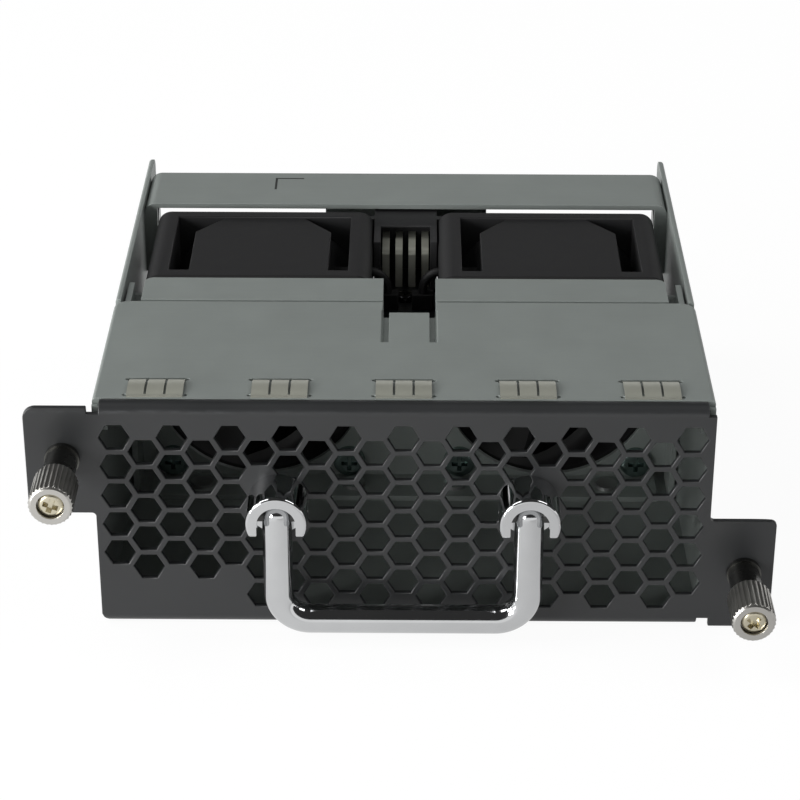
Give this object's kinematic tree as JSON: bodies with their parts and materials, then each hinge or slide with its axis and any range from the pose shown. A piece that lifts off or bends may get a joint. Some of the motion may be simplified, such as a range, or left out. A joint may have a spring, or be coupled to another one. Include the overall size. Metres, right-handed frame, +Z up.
{
  "type": "fan tray",
  "caption": "Slide-in rack fan tray: open sheet-steel box with axial fans, hexagon-perforated front panel, hanging bail handle, captive thumbscrews and grounding spring clips.",
  "frame": {"origin": "middle of the overall box at the level of the underside", "axes": "+X to the right seen from the front panel, +Y from the panel to the rear, +Z up"},
  "size_m": [0.1218, 0.1192, 0.0416],
  "materials": {
    "satin_black_panel": "satin black powder coat",
    "plated_sheet": "matt zinc-plated sheet steel",
    "fan_plastic": "moulded black glass-filled plastic",
    "handle_chrome": "bright nickel-chrome plate",
    "post_steel": "turned and plated steel",
    "clip_spring_steel": "bright tin-plated spring strip",
    "knob_nickel": "knurled and nickel plated",
    "screw_zinc": "yellow-tinted zinc plate",
    "rivet_steel": "plain set rivets",
    "bearing_steel": "ground steel",
    "yoke_steel": "drawn plated steel cup",
    "ferrite": "bonded ferrite ring",
    "core_steel": "stacked electrical steel",
    "copper_wire": "enamelled copper wire",
    "circuit_board": "glass-epoxy board with black solder mask",
    "connector_plastic": "moulded black plastic",
    "contact_plate": "tin-plated brass pins",
    "lead_sleeve": "black sleeved fan lead",
    "header_plastic": "black nylon header",
    "gasket_foam": "closed-cell black foam",
    "fan_screw_zinc": "blue-green passivated zinc plate",
    "screw_black": "black oxide steel"
  },
  "bodies": {
    "tray": {"front_panel": "satin_black_panel", "base_tray": "plated_sheet", "top_cover": "plated_sheet", "fan_bracket": "plated_sheet", "rear_bridge": "plated_sheet", "cover_rivets": "rivet_steel", "bridge_rivets": "rivet_steel", "bracket_rivets": "rivet_steel", "fan_screws": "fan_screw_zinc", "handle_post_screws": "screw_zinc", "connector_housing": "connector_plastic", "connector_contacts": "contact_plate", "control_board": "circuit_board", "board_standoff": "post_steel", "board_screw": "screw_black", "grounding_clip_1": "clip_spring_steel", "grounding_clip_2": "clip_spring_steel", "grounding_clip_3": "clip_spring_steel", "grounding_clip_4": "clip_spring_steel", "grounding_clip_5": "clip_spring_steel", "fan_frame_left": "fan_plastic", "fan_frame_right": "fan_plastic", "fan_gasket_left": "gasket_foam", "fan_gasket_right": "gasket_foam", "fan_bearings_left": "bearing_steel", "fan_bearings_right": "bearing_steel", "stator_core_left": "core_steel", "stator_core_right": "core_steel", "stator_windings_left": "copper_wire", "stator_windings_right": "copper_wire", "motor_board_left": "circuit_board", "motor_board_right": "circuit_board", "fan_lead_left": "lead_sleeve", "fan_lead_right": "lead_sleeve", "lead_header_left": "header_plastic", "lead_header_right": "header_plastic", "handle_post_left": "handle_chrome", "handle_post_right": "handle_chrome", "handle_pin_left": "handle_chrome", "handle_pin_right": "handle_chrome", "screw_ferrule_left": "knob_nickel", "screw_ferrule_right": "knob_nickel", "screw_spring_left": "bearing_steel", "screw_spring_right": "bearing_steel"},
    "left_rotor": {"fan_impeller_left": "fan_plastic", "fan_shaft_left": "bearing_steel", "rotor_yoke_left": "yoke_steel", "rotor_magnet_left": "ferrite"},
    "right_rotor": {"fan_impeller_right": "fan_plastic", "fan_shaft_right": "bearing_steel", "rotor_yoke_right": "yoke_steel", "rotor_magnet_right": "ferrite"},
    "handle": {"handle_bail": "handle_chrome"},
    "left_carriage": {"screw_washer_left": "post_steel"},
    "left_screw": {"thumbscrew_knob_left": "knob_nickel", "thumbscrew_screw_left": "screw_zinc"},
    "right_carriage": {"screw_washer_right": "post_steel"},
    "right_screw": {"thumbscrew_knob_right": "knob_nickel", "thumbscrew_screw_right": "screw_zinc"}
  },
  "joints": [
    {"name": "left_fan_spin", "type": "hinge", "parent": "tray", "child": "left_rotor", "pos_m": [-0.026, 0.01448, 0.021], "axis": [0, 1, 0], "continuous": true},
    {"name": "right_fan_spin", "type": "hinge", "parent": "tray", "child": "right_rotor", "pos_m": [0.026, 0.01448, 0.021], "axis": [0, 1, 0], "continuous": true},
    {"name": "handle_swing", "type": "hinge", "parent": "tray", "child": "handle", "pos_m": [0, -0.04872, 0.0237], "axis": [-1, 0, 0], "range_deg": [0, 90]},
    {"name": "left_screw_slide", "type": "slide", "parent": "tray", "child": "left_carriage", "axis": [0, 1, 0], "range_m": [0, 0.0045], "stiffness_N_per_m": 150, "springref_m": -0.003, "deforming": ["screw_spring_left"]},
    {"name": "left_screw_spin", "type": "hinge", "parent": "left_carriage", "child": "left_screw", "pos_m": [-0.0549, -0.05563, 0.0314], "axis": [0, 1, 0], "continuous": true},
    {"name": "right_screw_slide", "type": "slide", "parent": "tray", "child": "right_carriage", "axis": [0, 1, 0], "range_m": [0, 0.0045], "stiffness_N_per_m": 150, "springref_m": -0.003, "deforming": ["screw_spring_right"]},
    {"name": "right_screw_spin", "type": "hinge", "parent": "right_carriage", "child": "right_screw", "pos_m": [0.056, -0.05563, 0.01055], "axis": [0, 1, 0], "continuous": true}
  ]
}
